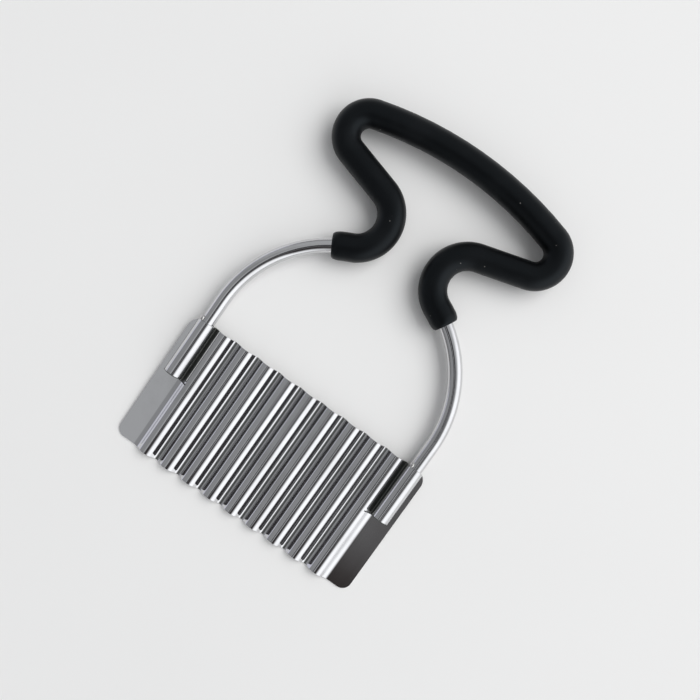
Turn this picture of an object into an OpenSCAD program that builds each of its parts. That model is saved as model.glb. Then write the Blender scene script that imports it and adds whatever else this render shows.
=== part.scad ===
// Crinkle cutter: a corrugated sheet blade hung in a bent rod that carries a soft grip sleeve.
//
// It lies on its back on a table. x runs along the cutting edge, y from the cutting edge to
// the grip and z up from the table, and the origin is under the middle of the whole cutter.
// The blade and the handle are drawn in their own flat frame, where y = 0 is the cutting edge
// and z = 0 is the middle of the sheet in the flanges. laid_down() tips that frame onto the table.

/* [Corrugated blade] */
// Number of crests between the two flanges
wave_count = 9; // [5:1:13]
// Spacing of the crests
wave_pitch = 10.6; // [10.2:0.1:13]
// Height of the crests above the valleys, at mid-sheet
wave_h = 3; // [2.4:0.1:3.4]
// Bend radius of the crests, at mid-sheet
crest_r = 3.6; // [2.4:0.1:3.9]
// Bend radius of the valleys, at mid-sheet
valley_r = 2.2; // [1.2:0.1:2.5]
// Bend radius where the outermost waves run out onto the flanges, at mid-sheet
foot_r = 4.5; // [3:0.1:6]
// Height of the blade, from the cutting edge to the top edge
blade_h = 58.5; // [45:0.5:75]
// Thickness of the sheet
sheet_t = 0.7; // [0.5:0.05:1]
// Radius of the blade's corners at the cutting edge
corner_r = 4; // [1:0.5:6]
// Radius of the blade's corners at the top edge
shoulder_r = 5; // [1:0.5:6]

/* [Rod sleeves pressed up from the flanges] */
// Length of a sleeve, down from the top edge
sleeve_l = 25.5; // [15:0.5:35]
// Width of the slit that frees the lower end of a sleeve
slit_w = 0.5; // [0.2:0.1:1.5]
// Distance of a slit's inner end from the outermost crest
slit_start = 1.6; // [0.4:0.1:1.8]
// Play between the rod and a sleeve, on the radius
sleeve_play = 0.1; // [0.05:0.05:0.3]
// Inside bend radius at the two feet of a sleeve
sleeve_foot_r = 0.4; // [0.2:0.1:0.8]
// Bend radius of the outermost waves beside the sleeves, at mid-sheet
trench_r = 0.6; // [0.5:0.1:1]
// Flat floor between a sleeve and the nearest wave
floor_w = 0.1; // [0.1:0.1:4]
// Flat strip between a sleeve and the blade's side edge
strip_w = 2; // [1:0.1:6]

/* [Handle rod] */
// Diameter of the rod
rod_d = 6; // [4:0.5:8]
// Chamfer on the two ends of the rod
rod_chamfer = 0.6; // [0.2:0.1:1.2]
// Distance of the rod's ends from the lower ends of the sleeves
rod_inset = 0.8; // [0:0.1:4]
// Straight length of the rod between the blade's top edge and the arm bend
arm_rise = 11; // [4:0.5:30]
// Distance between the two necks, centre to centre
neck_gap = 26; // [20:0.5:40]
// Bend radius of a neck
neck_r = 13.6; // [10:0.1:20]
// Straight length of the leg between a neck and its shoulder loop
leg_l = 20.5; // [10:0.5:35]
// Slope of the legs
leg_a = 15.7; // [5:0.1:30]
// Bend radius of the loops at the ends of the grip bar
lobe_r = 9; // [7:0.1:14]
// Rise of the grip bar's crown above the centres of the loops
bar_rise = 14.6; // [12:0.1:22]

/* [Grip sleeve] */
// Outside diameter of the grip sleeve
grip_d = 11.6; // [9:0.1:14]
// Play between the rod and the bore of the grip sleeve, on the radius
grip_play = 0.1; // [0.05:0.05:0.2]
// Length of the grip sleeve that runs from a neck onto the arm bend at its full diameter
grip_tail = 4.2; // [1:0.1:15]
// Length over which an end of the grip sleeve draws in
cuff_l = 3.4; // [1:0.1:5]
// Diameter of the grip sleeve at its drawn-in ends
cuff_d = 10; // [8:0.1:11]

/* [Tack welds] */
// Diameter of a weld bead
bead_d = 2.2; // [1.5:0.1:3]
// Place of a bead round the rod, measured from the +x side towards the front
bead_a = 125; // [100:5:150]
// Distance of a bead's centre above the blade's top edge
bead_rise = 0.4; // [0:0.1:1]

/* [Hidden] */
$fn = 96;
steel = [0.78, 0.79, 0.80];
rubber = [0.06, 0.06, 0.07];
// Cutters run this far past the faces that they cut
over = 1;
// The tight bends are drawn this much thicker than the runs between them, and a run ends this
// far inside the bend that it meets, so that the two join in one clean step
bend_step = 0.1;
run_lap = 0.3;
// The bends of the sheet reach this far past its flat faces, so that arc and flat cross at an angle
bend_bite = 0.005;

// Corrugation: a flank runs from a crest arc to the next valley arc
wave_bends = crest_r + valley_r;
flank_a = asin((wave_bends - 2 * bend_bite) / norm([wave_pitch / 2, wave_h - wave_bends]))
    + atan2(wave_h - wave_bends, wave_pitch / 2);
flank_normal = [sin(flank_a), cos(flank_a)];
last_crest_x = (wave_count - 1) / 2 * wave_pitch;
crest_z = wave_h - crest_r;

// Rod sleeves: the rod's axis lies at half the height of the waves
rod_z = wave_h / 2;
arch_r = rod_d / 2 + sleeve_play + sheet_t / 2;
arch_foot_r = sleeve_foot_r + sheet_t / 2;
arch_half_w = arch_r + arch_foot_r;
rod_x = wave_end(trench_r) + floor_w + arch_half_w;
sleeve_y = blade_h - sleeve_l;
blade_w = 2 * (rod_x + arch_half_w + strip_w);
slit_x = last_crest_x + slit_start;

// Handle path, right half: arm bend about the middle, neck, sloped leg, loop and grip bar
arm_y = blade_h + arm_rise;
neck_x = neck_gap / 2 + neck_r;
neck_y = arm_y + sqrt((rod_x + neck_r) ^ 2 - neck_x ^ 2);
neck = [neck_x, neck_y];
arm_end_a = atan2(neck_y - arm_y, neck_x);
rod_end_l = arm_y - sleeve_y - rod_inset;
leg_dir = [cos(leg_a), sin(leg_a)];
leg_normal = [-sin(leg_a), cos(leg_a)];
leg_start = neck + neck_r * leg_normal;
leg_end = leg_start + leg_l * leg_dir;
lobe = leg_end + lobe_r * leg_normal;
// The bar is an arc about the middle that touches both loops from outside
bar_drop = bar_rise - lobe_r;
bar_r = lobe_r + (lobe.x ^ 2 + bar_drop ^ 2) / (2 * bar_drop);
bar_y = lobe.y + bar_rise;
bar_centre = [0, bar_y - bar_r];
bar_end_a = atan2(lobe.y - bar_centre.y, lobe.x);

// Grip sleeve: its drawn-in end is an arc in section that starts a step proud of the full diameter
grip_bore_d = rod_d + 2 * grip_play;
tail_a = arm_end_a - arc_angle(grip_tail, rod_x);
bore_from_a = tail_a - arc_angle(2 * cuff_l, rod_x);
cuff_r = (grip_d + bend_step) / 2;
cuff_draw = cuff_r - cuff_d / 2;
cuff_arc_r = (cuff_l ^ 2 + cuff_draw ^ 2) / (2 * cuff_draw);

// Rest on the table: the back of the cutting edge and the two ends of the grip touch it
rest_contact_y = arm_y + rod_x * sin(tail_a);
rest_a = atan2(cuff_r - rod_z - sheet_t / 2, rest_contact_y);
rest_z = sheet_t / 2 * cos(rest_a);
rest_min_y = -(wave_h + sheet_t / 2) * sin(rest_a);
rest_max_y = bar_y * cos(rest_a) - rod_z * sin(rest_a) + grip_d / 2;

// Angle of an arc of the given length
function arc_angle(length, r) = length / r * 180 / PI;

// Place where the outermost wave ends in a flat, after a foot bend of the given mid-sheet radius
function foot_z(r) = r - bend_bite;
function wave_end(r) = last_crest_x
    + (crest_r + r - 2 * bend_bite + (crest_z - foot_z(r)) * flank_normal.y) / flank_normal.x;

// Tips the flat frame onto the table and centres it on the origin
module laid_down() {
    translate([0, -(rest_min_y + rest_max_y) / 2, rest_z])
        rotate([rest_a, 0, 0])
            children();
}

// Draws its children and their mirror image across the middle of the cutter
module both_sides() {
    children();
    mirror([1, 0, 0]) children();
}

// Sheet in section: a bend of a given mid-sheet radius between two angles
module sheet_bend(r, from_a, to_a) {
    reach = 2 * (r + sheet_t);
    middle_a = (from_a + to_a) / 2;
    intersection() {
        difference() {
            circle(r + sheet_t / 2);
            circle(r - sheet_t / 2);
        }
        polygon([[0, 0], for (a = [from_a, middle_a, to_a]) reach * [cos(a), sin(a)]]);
    }
}

// Sheet in section: a flat run between two mid-sheet points
module sheet_run(from, to) {
    run = to - from;
    translate((from + to) / 2)
        rotate(atan2(run.y, run.x))
            square([norm(run), sheet_t], center = true);
}

// Draws a section given in x and z as a solid between two heights of the blade
module along_blade(from_y, to_y) {
    translate([0, to_y, 0])
        rotate([90, 0, 0])
            linear_extrude(to_y - from_y)
                children();
}

// Area behind one face of the sheet, for side = 1 its front face and for side = -1 its back face.
// Flanks and flanges are straight; crests are added, and valleys and feet cut away, as true arcs.
module behind_face(side, end_r, margin) {
    flat_z = side * sheet_t / 2;
    side_x = blade_w / 2 + margin;
    base_z = crest_z - crest_r - sheet_t - over - margin;
    crest_x = [for (i = [0 : wave_count - 1]) i * wave_pitch - last_crest_x];
    valley_x = [for (i = [0 : wave_count - 2]) crest_x[i] + wave_pitch / 2];
    end = [wave_end(end_r), foot_z(end_r)];
    crest_reach = (crest_r + flat_z - bend_bite) * flank_normal;
    valley_reach = (valley_r - flat_z - bend_bite) * flank_normal;
    end_reach = (end_r - flat_z - bend_bite) * flank_normal;
    difference() {
        union() {
            polygon([
                [-side_x, base_z],
                [-side_x, flat_z],
                [-end.x, flat_z],
                [end_reach.x - end.x, end.y - end_reach.y],
                for (i = [0 : wave_count - 1]) each [
                    [crest_x[i] - crest_reach.x, crest_z + crest_reach.y],
                    [crest_x[i] + crest_reach.x, crest_z + crest_reach.y],
                    if (i < wave_count - 1) [valley_x[i] - valley_reach.x, valley_r - valley_reach.y],
                    if (i < wave_count - 1) [valley_x[i] + valley_reach.x, valley_r - valley_reach.y],
                ],
                [end.x - end_reach.x, end.y - end_reach.y],
                [end.x, flat_z],
                [side_x, flat_z],
                [side_x, base_z],
            ]);
            for (x = crest_x)
                translate([x, crest_z])
                    circle(crest_r + flat_z);
        }
        for (x = valley_x)
            translate([x, valley_r])
                circle(valley_r - flat_z);
        both_sides()
            translate(end)
                circle(end_r - flat_z);
    }
}

// Section of the whole sheet with flat flanges, its outermost waves ending in bends of a given radius
module corrugated_section(end_r) {
    difference() {
        behind_face(1, end_r, 0);
        behind_face(-1, end_r, over);
    }
}

// Section of one rod sleeve, standing on its two feet
module sleeve_section() {
    translate([0, rod_z])
        sheet_bend(arch_r, 0, 180);
    both_sides() {
        sheet_run([arch_r, arch_foot_r], [arch_r, rod_z]);
        translate([arch_half_w, arch_foot_r])
            sheet_bend(arch_foot_r, 180, 270);
    }
}

// What a corner of the given radius takes off, with the corner at the origin and the blade at -x, +y
module corner_cutter(r) {
    translate([0, 0, -over - sheet_t])
        linear_extrude(2 * (over + sheet_t) + wave_h + rod_d)
            difference() {
                translate([-r, -over])
                    square([r + over, r + over]);
                translate([-r, r])
                    circle(r);
            }
}

// Rod or tube along a bend about a centre, between two angles
module bent_rod(d, centre, r, from_a, to_a) {
    translate(centre)
        rotate(from_a)
            rotate_extrude(angle = to_a - from_a)
                translate([r, 0])
                    circle(d = d);
}

// Rod or tube along the handle, from a given angle of one arm bend round to the other
module handle_path(d, arm_from_a) {
    both_sides() {
        bent_rod(d, [0, arm_y], rod_x, arm_from_a, arm_end_a + arc_angle(run_lap, rod_x));
        bent_rod(d + bend_step, neck, neck_r, 90 + leg_a, 180 + arm_end_a);
        translate(leg_start - run_lap * leg_dir)
            rotate([0, 90, leg_a])
                cylinder(h = leg_l + 2 * run_lap, d = d);
        bent_rod(d + bend_step, lobe, lobe_r, leg_a - 90, bar_end_a);
    }
    bar_from_a = bar_end_a - arc_angle(run_lap, bar_r);
    bent_rod(d, bar_centre, bar_r, bar_from_a, 180 - bar_from_a);
}

// Drawn-in end of the grip sleeve
module cuff() {
    translate([0, arm_y])
        rotate(tail_a)
            translate([rod_x, 0])
                rotate([90, 0, 0])
                    rotate_extrude()
                        intersection() {
                            square([cuff_r, cuff_l]);
                            translate([cuff_r - cuff_arc_r, 0])
                                circle(cuff_arc_r);
                        }
}

// Straight end of the rod, chamfered, from inside the sleeve up to the arm bend
module rod_end() {
    translate([rod_x, sleeve_y + rod_inset, 0])
        rotate([-90, 0, 0]) {
            cylinder(h = rod_chamfer, d1 = rod_d - 2 * rod_chamfer, d2 = rod_d);
            translate([0, 0, rod_chamfer])
                cylinder(h = rod_end_l - rod_chamfer, d = rod_d);
        }
}

// Lower part of the sheet, up to the lower ends of the sleeves, with its two slits
module flanged_part() {
    difference() {
        along_blade(0, sleeve_y)
            corrugated_section(foot_r);
        both_sides()
            translate([slit_x, sleeve_y - slit_w, -sheet_t])
                cube([rod_x + arch_half_w - slit_x, slit_w + over, wave_h + 2 * sheet_t]);
    }
}

// Upper part of the sheet, with the two sleeves in place of its flanges
module sleeved_part() {
    along_blade(sleeve_y, blade_h) {
        difference() {
            corrugated_section(trench_r);
            both_sides()
                translate([rod_x - arch_half_w, -sheet_t])
                    square([2 * arch_half_w, 2 * sheet_t]);
        }
        both_sides()
            translate([rod_x, 0])
                sleeve_section();
    }
}

// Blade without its tilt: the two parts of the sheet, with round corners
module flat_blade() {
    difference() {
        union() {
            flanged_part();
            sleeved_part();
        }
        both_sides() {
            translate([blade_w / 2, 0, 0])
                corner_cutter(corner_r);
            translate([blade_w / 2, blade_h, 0])
                mirror([0, 1, 0])
                    corner_cutter(shoulder_r);
        }
    }
}

// Bead in the corner between a sleeve's top edge and the rod, on the -x side of that rod
module tack_weld(at_x) {
    laid_down()
        difference() {
            translate([at_x, blade_h + bead_rise, rod_z]
                + (rod_d / 2 + sleeve_play) * [cos(bead_a), 0, sin(bead_a)])
                sphere(d = bead_d);
            translate([at_x, blade_h - bead_d, rod_z])
                rotate([-90, 0, 0])
                    cylinder(h = 3 * bead_d, d = rod_d);
            translate([at_x, 0, 0])
                along_blade(blade_h - bead_d, blade_h)
                    sleeve_section();
        }
}

// Stamped stainless blade
module blade() {
    color(steel)
        laid_down()
            flat_blade();
}

// Bent stainless rod, one piece from sleeve to sleeve
module handle_rod() {
    color(steel)
        laid_down()
            translate([0, 0, rod_z]) {
                both_sides()
                    rod_end();
                handle_path(rod_d, 0);
            }
}

// Soft sleeve pushed over the rod's grip part
module grip_sleeve() {
    color(rubber)
        laid_down()
            translate([0, 0, rod_z])
                difference() {
                    union() {
                        handle_path(grip_d, tail_a - arc_angle(run_lap, rod_x));
                        both_sides()
                            cuff();
                    }
                    handle_path(grip_bore_d, bore_from_a);
                }
}

// Weld bead on the left rod
module left_tack_weld() {
    color(steel)
        tack_weld(-rod_x);
}

// Weld bead on the right rod
module right_tack_weld() {
    color(steel)
        tack_weld(rod_x);
}

blade();
handle_rod();
grip_sleeve();
left_tack_weld();
right_tack_weld();
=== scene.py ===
"""Looks of a crinkle cutter: a corrugated steel blade hung in a bent rod with a soft black grip.

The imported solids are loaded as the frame. Blade, rod, grip and weld beads are modelled again on
the same sizes, with finer bends and edges and with their finishes, and stand for those solids.

All lengths are in metres. A piece is drawn in a flat frame, where y = 0 is the cutting edge and
z = 0 the middle of the sheet in the flanges, and is then tipped onto the table as the solids are.
"""

import logging
import math
from dataclasses import dataclass, field
from enum import Enum
from typing import Any, Callable, Optional, Sequence, Union

import bpy
from mathutils import Matrix, Vector


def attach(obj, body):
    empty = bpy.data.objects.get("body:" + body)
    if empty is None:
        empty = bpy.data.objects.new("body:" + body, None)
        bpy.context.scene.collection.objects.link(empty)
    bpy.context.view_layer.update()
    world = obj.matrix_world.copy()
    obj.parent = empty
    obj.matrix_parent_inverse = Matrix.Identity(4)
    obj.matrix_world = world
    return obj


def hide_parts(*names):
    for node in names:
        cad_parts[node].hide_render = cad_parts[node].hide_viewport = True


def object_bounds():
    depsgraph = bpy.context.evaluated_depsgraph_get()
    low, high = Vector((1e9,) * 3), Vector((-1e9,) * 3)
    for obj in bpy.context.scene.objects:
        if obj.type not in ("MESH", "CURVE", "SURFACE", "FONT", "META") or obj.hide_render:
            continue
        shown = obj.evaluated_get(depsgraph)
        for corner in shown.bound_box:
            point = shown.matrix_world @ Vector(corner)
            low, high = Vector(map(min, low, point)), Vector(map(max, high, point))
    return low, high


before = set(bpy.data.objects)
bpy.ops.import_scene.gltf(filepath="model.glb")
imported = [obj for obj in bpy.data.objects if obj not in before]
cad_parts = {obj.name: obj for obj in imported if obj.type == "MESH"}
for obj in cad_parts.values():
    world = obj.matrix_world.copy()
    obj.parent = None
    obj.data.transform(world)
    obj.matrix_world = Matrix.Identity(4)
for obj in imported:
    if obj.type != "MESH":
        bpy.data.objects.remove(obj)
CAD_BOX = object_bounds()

LOG = logging.getLogger("crinkle_cutter")
MM = 0.001
# Vertex mark of the blade's painted shade, in its valleys, its trenches and at its sleeve ends
PAINTED_SHADE_MARK = "painted_shade"

# Distances within which places count as the same: in a pick or a mirror's seam, in a weld, in a cut
NEAR = 0.01 * MM
WELD_REACH = 0.002 * MM
CUT_REACH = 0.0001 * MM

# Red, green and blue; and a lower and an upper value
Colour = Sequence[float]
Span = tuple[float, float]


class Slot(Enum):
    """Material slots of the record."""

    BLADE = "blade_steel"
    ROD = "rod_steel"
    GRIP = "grip_rubber"
    WELD = "weld_steel"


class Side(Enum):
    """Left and right of the cutter, as the sign of x."""

    LEFT = -1
    RIGHT = 1


class Plane(Enum):
    """Plane in which a pen draws, as its axis for turning left."""

    SECTION = (0.0, -1.0, 0.0)
    PLAN = (0.0, 0.0, 1.0)


# Sizes


@dataclass(frozen=True)
class BladeSizes:
    """Driving sizes of the corrugated sheet, with bend radii at mid-sheet.

    Attributes:
        wave_count: Number of crests, which is odd.
        wave_pitch: Distance between two crests.
        wave_height: Height of the crests above the valleys and flanges.
        crest_radius: Bend radius of the crests.
        valley_radius: Bend radius of the valleys.
        foot_radius: Bend radius where the waves end in a flange.
        height: Height of the blade from its cutting edge to its top edge.
        sheet: Thickness of the sheet.
        corner_radius: Radius of the corners at the cutting edge.
        shoulder_radius: Radius of the corners at the top edge.
        sleeve_length: Length of the rod sleeves.
        slit_width: Width of the slits below the sleeves.
        slit_start: Distance from an outermost crest to the slit beside it.
        sleeve_inside_radius: Radius inside the rod sleeves.
        sleeve_foot_radius: Bend radius where a sleeve rises from the flat.
        trench_radius: Bend radius where the waves end beside a sleeve.
        floor_width: Width of the flat between that bend and the sleeve.
        strip_width: Width of the flat strip along a side edge.
    """

    wave_count: int = 9
    wave_pitch: float = 10.6 * MM
    wave_height: float = 3.0 * MM
    crest_radius: float = 3.6 * MM
    valley_radius: float = 2.2 * MM
    foot_radius: float = 4.5 * MM
    height: float = 58.5 * MM
    sheet: float = 0.7 * MM
    corner_radius: float = 4.0 * MM
    shoulder_radius: float = 5.0 * MM
    sleeve_length: float = 25.5 * MM
    slit_width: float = 0.5 * MM
    slit_start: float = 1.6 * MM
    sleeve_inside_radius: float = 3.1 * MM
    sleeve_foot_radius: float = 0.75 * MM
    trench_radius: float = 0.6 * MM
    floor_width: float = 0.1 * MM
    strip_width: float = 2.0 * MM

    @property
    def crest_z(self) -> float:
        """Height of the centres of the crest bends."""
        return self.wave_height - self.crest_radius

    @property
    def last_crest_x(self) -> float:
        """Place of the outermost crest."""
        return (self.wave_count - 1) / 2 * self.wave_pitch

    @property
    def flank_angle(self) -> float:
        """Slope of the straight flank between a crest and a valley."""
        rise = self.crest_z - self.valley_radius
        reach = math.hypot(self.wave_pitch / 2, rise)
        bends = self.crest_radius + self.valley_radius
        return math.asin(bends / reach) + math.atan2(rise, self.wave_pitch / 2)

    @property
    def flank_length(self) -> float:
        """Length of the straight flank between a crest and a valley."""
        rise = self.crest_z - self.valley_radius
        bends = self.crest_radius + self.valley_radius
        return math.sqrt((self.wave_pitch / 2) ** 2 + rise**2 - bends**2)

    def wave_end(self, radius: float) -> float:
        """Gives the place where the outermost wave ends in a flat.

        Args:
            radius: Bend radius of the wave's foot.

        Returns:
            The x at which the foot bend meets the flat.
        """
        drop = (self.crest_z - radius) * math.cos(self.flank_angle)
        return self.last_crest_x + (self.crest_radius + radius + drop) / math.sin(self.flank_angle)

    def run_out(self, radius: float) -> float:
        """Gives the length of the outermost straight flank.

        Args:
            radius: Bend radius of the wave's foot.

        Returns:
            The flank's length between its two bends.
        """
        bends = (self.crest_radius + radius) * math.sin(self.flank_angle)
        return (self.wave_end(radius) - self.last_crest_x - bends) / math.cos(self.flank_angle)

    @property
    def sleeve_radius(self) -> float:
        """Bend radius of a rod sleeve at mid-sheet."""
        return self.sleeve_inside_radius + self.sheet / 2

    @property
    def sleeve_half_width(self) -> float:
        """Half the width of a rod sleeve over its two feet."""
        return self.sleeve_radius + self.sleeve_foot_radius

    @property
    def rod_x(self) -> float:
        """Place of a rod sleeve's middle."""
        return self.wave_end(self.trench_radius) + self.floor_width + self.sleeve_half_width

    @property
    def rod_z(self) -> float:
        """Height of the rod's axis, half-way up the waves."""
        return self.wave_height / 2

    @property
    def strip_x(self) -> float:
        """Inner side of the flat strip along the blade's side edge."""
        return self.rod_x + self.sleeve_half_width

    @property
    def half_width(self) -> float:
        """Half the width of the blade."""
        return self.strip_x + self.strip_width

    @property
    def sleeve_y(self) -> float:
        """Height of the lower ends of the rod sleeves."""
        return self.height - self.sleeve_length


@dataclass(frozen=True)
class HandleSizes:
    """Driving sizes of the rod and the grip sleeve, with bend radii at the rod's axis.

    Attributes:
        blade: Sizes of the blade.
        rod_radius: Radius of the rod.
        rod_chamfer: Width of the chamfer at the rod's ends.
        rod_inset: Distance from a sleeve's lower end to the rod's end inside it.
        arm_rise: Distance from the blade's top edge to the arm bend.
        neck_gap: Distance between the axes of the two necks.
        neck_radius: Bend radius of the necks.
        leg_length: Length of the straight legs.
        leg_angle: Slope of the legs.
        lobe_radius: Bend radius of the loops at the ends of the grip bar.
        bar_rise: Height of the grip bar's crown above the centres of the loops.
        grip_radius: Radius of the grip sleeve.
        grip_tail: Length of each arm bend that the grip sleeve covers in full thickness.
        bend_step: Extra thickness of the solid sleeve where it is drawn in and touches the table.
        bore_radius: Radius of the grip sleeve's bore.
        cuff_length: Length of the sleeve's drawn-in ends.
        cuff_radius: Radius of the mouths of those ends.
        cuff_lip: Width of the rounding round a mouth.
    """

    blade: BladeSizes = BladeSizes()
    rod_radius: float = 3.0 * MM
    rod_chamfer: float = 0.6 * MM
    rod_inset: float = 0.8 * MM
    arm_rise: float = 11.0 * MM
    neck_gap: float = 26.0 * MM
    neck_radius: float = 13.6 * MM
    leg_length: float = 20.5 * MM
    leg_angle: float = math.radians(15.7)
    lobe_radius: float = 9.0 * MM
    bar_rise: float = 14.6 * MM
    grip_radius: float = 5.8 * MM
    grip_tail: float = 4.2 * MM
    bend_step: float = 0.1 * MM
    bore_radius: float = 3.1 * MM
    cuff_length: float = 3.4 * MM
    cuff_radius: float = 5.0 * MM
    cuff_lip: float = 0.35 * MM

    @property
    def arm_y(self) -> float:
        """Height at which the arm bend starts."""
        return self.blade.height + self.arm_rise

    @property
    def neck(self) -> Vector:
        """Centre of the right neck bend."""
        x = self.neck_gap / 2 + self.neck_radius
        reach = self.blade.rod_x + self.neck_radius
        return Vector((x, self.arm_y + math.sqrt(reach**2 - x**2)))

    @property
    def arm_turn(self) -> float:
        """Angle of the arm bend."""
        return math.atan2(self.neck.y - self.arm_y, self.neck.x)

    @property
    def neck_turn(self) -> float:
        """Angle of the neck bend."""
        return math.pi / 2 + self.arm_turn - self.leg_angle

    @property
    def lobe(self) -> Vector:
        """Centre of the right loop at the end of the grip bar."""
        along = Vector((math.cos(self.leg_angle), math.sin(self.leg_angle)))
        across = Vector((-along.y, along.x))
        return self.neck + self.leg_length * along + (self.neck_radius + self.lobe_radius) * across

    @property
    def bar_radius(self) -> float:
        """Bend radius of the grip bar, which touches both loops from outside."""
        drop = self.bar_rise - self.lobe_radius
        return self.lobe_radius + (self.lobe.x**2 + drop**2) / (2 * drop)

    @property
    def bar_y(self) -> float:
        """Height of the grip bar's crown."""
        return self.lobe.y + self.bar_rise

    @property
    def bar_turn(self) -> float:
        """Angle of half the grip bar."""
        return math.atan2(self.lobe.x, self.lobe.y - self.bar_y + self.bar_radius)

    @property
    def lobe_turn(self) -> float:
        """Angle of the loop at the end of the grip bar."""
        return math.pi - self.leg_angle - self.bar_turn

    @property
    def tail_angle(self) -> float:
        """Angle on the arm bend at which the grip sleeve has its full thickness."""
        return self.arm_turn - self.grip_tail / self.blade.rod_x

    @property
    def rest_angle(self) -> float:
        """Tilt of the cutter as it lies on its cutting edge and the ends of its grip."""
        contact_y = self.arm_y + self.blade.rod_x * math.sin(self.tail_angle)
        contact_radius = self.grip_radius + self.bend_step / 2
        drop = contact_radius - self.blade.rod_z - self.blade.sheet / 2
        return math.atan2(drop, contact_y)


# Modelling bench


def clamped(value: float) -> float:
    """Keeps a value between 0 and 1."""
    return min(1.0, max(0.0, value))


def deselect() -> None:
    """Deselects every object."""
    bpy.ops.object.select_all(action="DESELECT")


def select_only(piece: bpy.types.Object) -> None:
    """Selects one object alone and makes it the active one.

    Args:
        piece: The object.
    """
    deselect()
    piece.select_set(True)
    bpy.context.view_layer.objects.active = piece


def apply_place() -> None:
    """Applies the place of the selected object to its mesh."""
    bpy.ops.object.transform_apply(location=True, rotation=True, scale=True)


def edit(piece: bpy.types.Object) -> None:
    """Enters edit mode on one object alone, in vertex mode.

    Args:
        piece: The object, in object mode.
    """
    select_only(piece)
    bpy.ops.object.mode_set(mode="EDIT")
    bpy.ops.mesh.select_mode(type="VERT")


def edit_all(piece: bpy.types.Object) -> None:
    """Enters edit mode on one object with all its vertices selected."""
    edit(piece)
    bpy.ops.mesh.select_all(action="SELECT")


def leave_edit() -> None:
    """Goes back to object mode."""
    bpy.ops.object.mode_set(mode="OBJECT")


def pick(piece: bpy.types.Object, wanted: Callable[[Vector], bool]) -> None:
    """Selects the vertices of an object by their place and leaves it in edit mode.

    Args:
        piece: The object, in object mode.
        wanted: Test of a vertex's place.
    """
    edit(piece)
    bpy.ops.mesh.select_all(action="DESELECT")
    leave_edit()
    for vertex in piece.data.vertices:
        vertex.select = wanted(vertex.co)
    edit(piece)


def apply_modifier(piece: bpy.types.Object, kind: str, **settings: Any) -> None:
    """Adds a modifier to an object and applies it.

    Args:
        piece: The object, in object mode.
        kind: The modifier's type.
        **settings: Values of the modifier's properties.
    """
    select_only(piece)
    bpy.ops.object.modifier_add(type=kind)
    modifier = piece.modifiers[-1]
    for key, value in settings.items():
        setattr(modifier, key, value)
    bpy.ops.object.modifier_apply(modifier=modifier.name)


def weld_seams(piece: bpy.types.Object) -> None:
    """Merges doubled vertices of an object and turns its faces outwards.

    Args:
        piece: The object, in object mode.
    """
    edit_all(piece)
    bpy.ops.mesh.remove_doubles(threshold=WELD_REACH)
    bpy.ops.mesh.normals_make_consistent(inside=False)
    leave_edit()


def mirror(piece: bpy.types.Object) -> None:
    """Adds the left half of an object to its right half and welds the seam."""
    apply_modifier(piece, "MIRROR", use_mirror_merge=True, merge_threshold=NEAR)
    weld_seams(piece)


def join(pieces: Sequence[bpy.types.Object], name: str) -> bpy.types.Object:
    """Joins objects into one.

    Args:
        pieces: The objects, of which the first one stays.
        name: Name of the joined object.

    Returns:
        The joined object.
    """
    deselect()
    for piece in pieces:
        piece.select_set(True)
    bpy.context.view_layer.objects.active = pieces[0]
    bpy.ops.object.join()
    pieces[0].name = name
    pieces[0].data.name = name
    return pieces[0]


def smooth(piece: bpy.types.Object, angle: float) -> None:
    """Shades an object smooth, with sharp edges above an angle.

    Args:
        piece: The object, in object mode.
        angle: The angle in degrees.
    """
    select_only(piece)
    bpy.ops.object.shade_smooth_by_angle(angle=math.radians(angle))


@dataclass
class BendPen:
    """Pen that draws runs and bends by extruding and spinning what is selected.

    Attributes:
        plane: Plane in which it draws.
        at: Its place in that plane.
        heading: Its direction, as an angle to the left of +x.
        step: Largest angle of one facet of a bend.
    """

    plane: Plane
    at: Vector
    heading: float
    step: float = math.radians(3.0)

    def world(self, point: Vector) -> Vector:
        """Places a point of the plane in the flat frame.

        Args:
            point: The point in the plane.

        Returns:
            The point in x, y and z.
        """
        if self.plane is Plane.SECTION:
            return Vector((point.x, 0.0, point.y))
        return Vector((point.x, point.y, 0.0))

    def forward(self, length: float, steps: int = 1) -> None:
        """Draws a straight run.

        Args:
            length: Its length.
            steps: Number of facets along it.
        """
        stride = length / steps * Vector((math.cos(self.heading), math.sin(self.heading)))
        for _ in range(steps):
            bpy.ops.mesh.extrude_region_move(TRANSFORM_OT_translate={"value": self.world(stride)})
            self.at = self.at + stride

    def turn(self, radius: float, angle: float) -> None:
        """Draws a bend.

        Args:
            radius: Its radius.
            angle: Its angle, positive to the left.
        """
        side = math.copysign(1.0, angle)
        inward = Vector((-math.sin(self.heading), math.cos(self.heading))) * side
        centre = self.at + radius * inward
        bpy.ops.mesh.spin(
            steps=max(1, math.ceil(abs(angle) / self.step)),
            angle=-angle,
            center=self.world(centre),
            axis=self.plane.value,
        )
        self.at = centre + Matrix.Rotation(angle, 2) @ (self.at - centre)
        self.heading += angle

    def left(self, radius: float, angle: float) -> None:
        """Draws a bend to the left."""
        self.turn(radius, angle)

    def right(self, radius: float, angle: float) -> None:
        """Draws a bend to the right."""
        self.turn(radius, -angle)

    def grow(self, factor: float) -> None:
        """Scales what is selected about the pen's place."""
        middle = self.world(self.at)
        bpy.ops.transform.resize(value=(factor, factor, factor), center_override=middle)


def start_point(name: str, at: Vector) -> bpy.types.Object:
    """Starts a section with a single point and stays in edit mode.

    Args:
        name: Name of the new object.
        at: The point's x and z.

    Returns:
        The new object.
    """
    deselect()
    bpy.ops.mesh.primitive_plane_add(size=MM)
    piece = bpy.context.active_object
    piece.name = name
    edit_all(piece)
    bpy.ops.mesh.merge(type="CENTER")
    bpy.ops.transform.translate(value=(at.x, 0.0, at.y))
    return piece


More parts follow.
